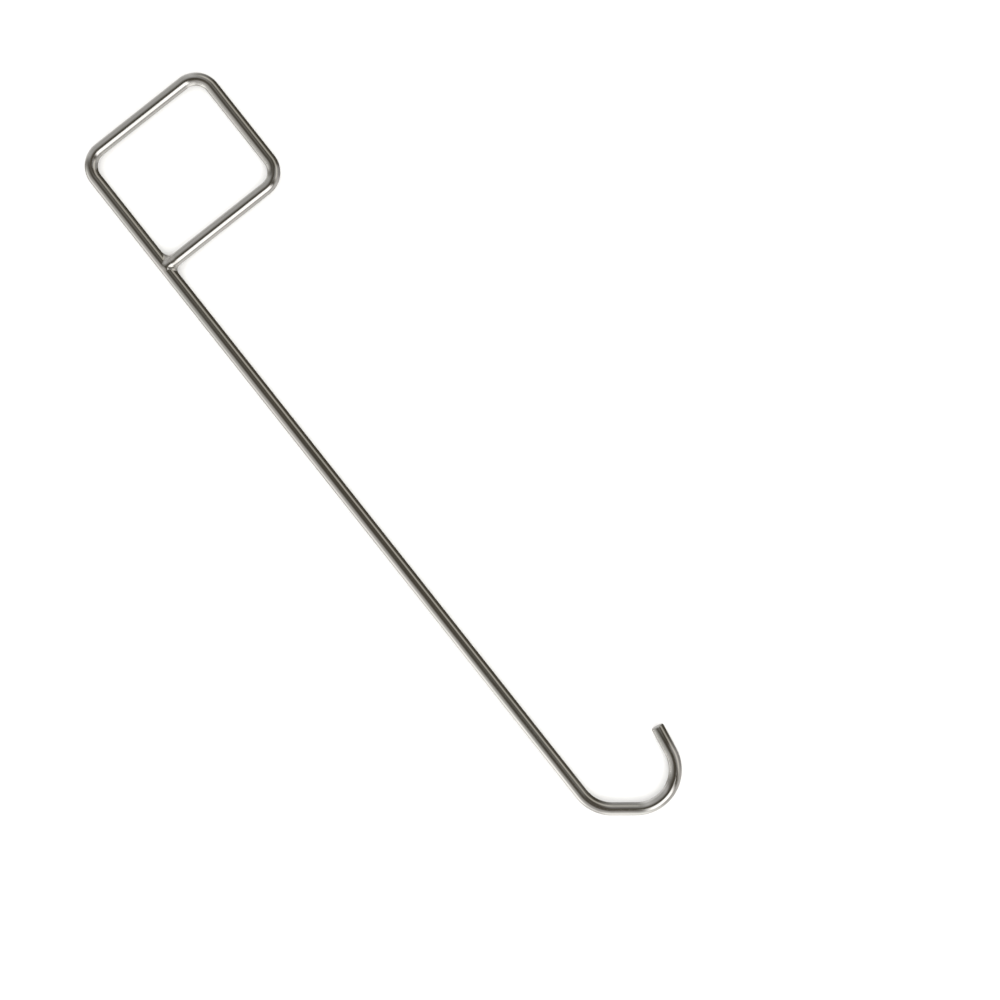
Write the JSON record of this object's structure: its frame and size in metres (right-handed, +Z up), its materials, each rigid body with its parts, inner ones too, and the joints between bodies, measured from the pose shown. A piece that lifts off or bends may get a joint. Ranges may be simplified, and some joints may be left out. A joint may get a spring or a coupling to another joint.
{
  "type": "manhole cover lifter",
  "caption": "Bent round-bar lifter with an open hook, a long straight shank and a closed hand loop welded at the neck, for pulling up manhole covers by hand.",
  "frame": {"origin": "on the surface the tool lies on, under the middle of its overall box", "axes": "+Y along the shank from the hook towards the hand loop, +X from the shank towards the open side of the hook, +Z up through the thickness of the flat-lying bar"},
  "size_m": [0.124, 0.6703, 0.0116],
  "materials": {
    "bar": "polished drawn stainless bar with faint lines along its length",
    "weld": "weld metal dressed and polished, with a low rounded crown over the joint"
  },
  "bodies": {
    "root": {"lifting_bar": "bar", "inside_weld": "weld", "outside_weld": "weld"}
  },
  "joints": []
}
